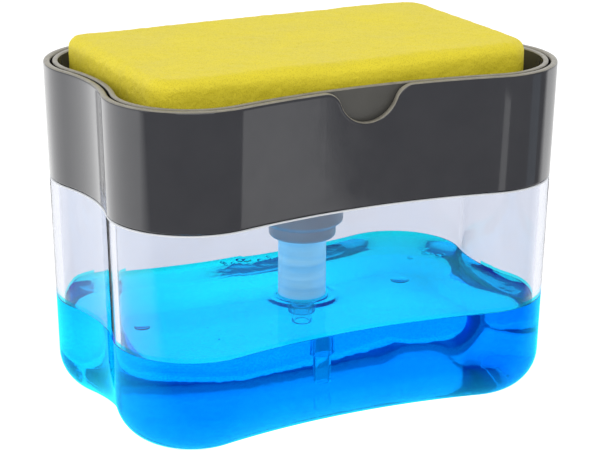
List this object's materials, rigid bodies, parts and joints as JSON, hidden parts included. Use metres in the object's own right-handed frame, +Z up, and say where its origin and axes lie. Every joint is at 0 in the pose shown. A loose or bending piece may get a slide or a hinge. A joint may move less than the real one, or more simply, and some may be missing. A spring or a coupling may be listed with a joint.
{
  "type": "dish soap dispenser",
  "caption": "Clear soap tank under a dark grey collar, whose press tray holds a sponge and pumps soap up through its middle.",
  "frame": {"origin": "middle of the tank's foot, on the surface it stands on", "axes": "+X along the long side to the right as seen from the side with the finger notch, +Y to the back, +Z up along the pump"},
  "size_m": [0.155, 0.1018, 0.119],
  "materials": {
    "clear_plastic": "gloss",
    "blue_soap": "gloss",
    "grey_plastic": "gloss",
    "tray_plastic": "satin",
    "closure_plastic": "satin",
    "milky_plastic": "satin",
    "pump_plastic": "satin",
    "soft_rubber": "matte",
    "spring_steel": "satin",
    "ball_steel": "polished",
    "yellow_foam": "matte"
  },
  "bodies": {
    "base": {"tank": "clear_plastic", "liquid_soap": "blue_soap"},
    "top": {"collar": "grey_plastic", "pump_closure": "closure_plastic", "closure_gasket": "soft_rubber", "pump_housing": "milky_plastic", "stem_guide": "pump_plastic", "dip_tube": "milky_plastic", "return_spring": "spring_steel", "inlet_cage": "pump_plastic"},
    "inlet_valve": {"inlet_ball": "ball_steel"},
    "plunger": {"pump_stem": "pump_plastic", "piston": "pump_plastic", "piston_seal": "soft_rubber", "stem_head": "pump_plastic", "outlet_cage": "pump_plastic"},
    "outlet_valve": {"outlet_ball": "ball_steel"},
    "tray": {"tray": "tray_plastic"},
    "sponge": {"sponge": "yellow_foam"}
  },
  "joints": [
    {"name": "collar_lift", "type": "slide", "parent": "base", "child": "top", "axis": [0, 0, 1], "range_m": [0, 0.12]},
    {"name": "press", "type": "slide", "parent": "top", "child": "plunger", "axis": [0, 0, -1], "range_m": [0, 0.01], "stiffness_N_per_m": 900, "springref_m": -0.01, "deforming": ["return_spring"]},
    {"name": "tray_lift", "type": "slide", "parent": "plunger", "child": "tray", "axis": [0, 0, 1], "range_m": [0, 0.03]},
    {"name": "sponge_lift", "type": "slide", "parent": "tray", "child": "sponge", "axis": [0, 0, 1], "range_m": [0, 0.04]},
    {"name": "inlet_ball_lift", "type": "slide", "parent": "top", "child": "inlet_valve", "axis": [0, 0, 1], "range_m": [0, 0.0012]},
    {"name": "outlet_ball_lift", "type": "slide", "parent": "plunger", "child": "outlet_valve", "axis": [0, 0, 1], "range_m": [0, 0.0009]}
  ]
}
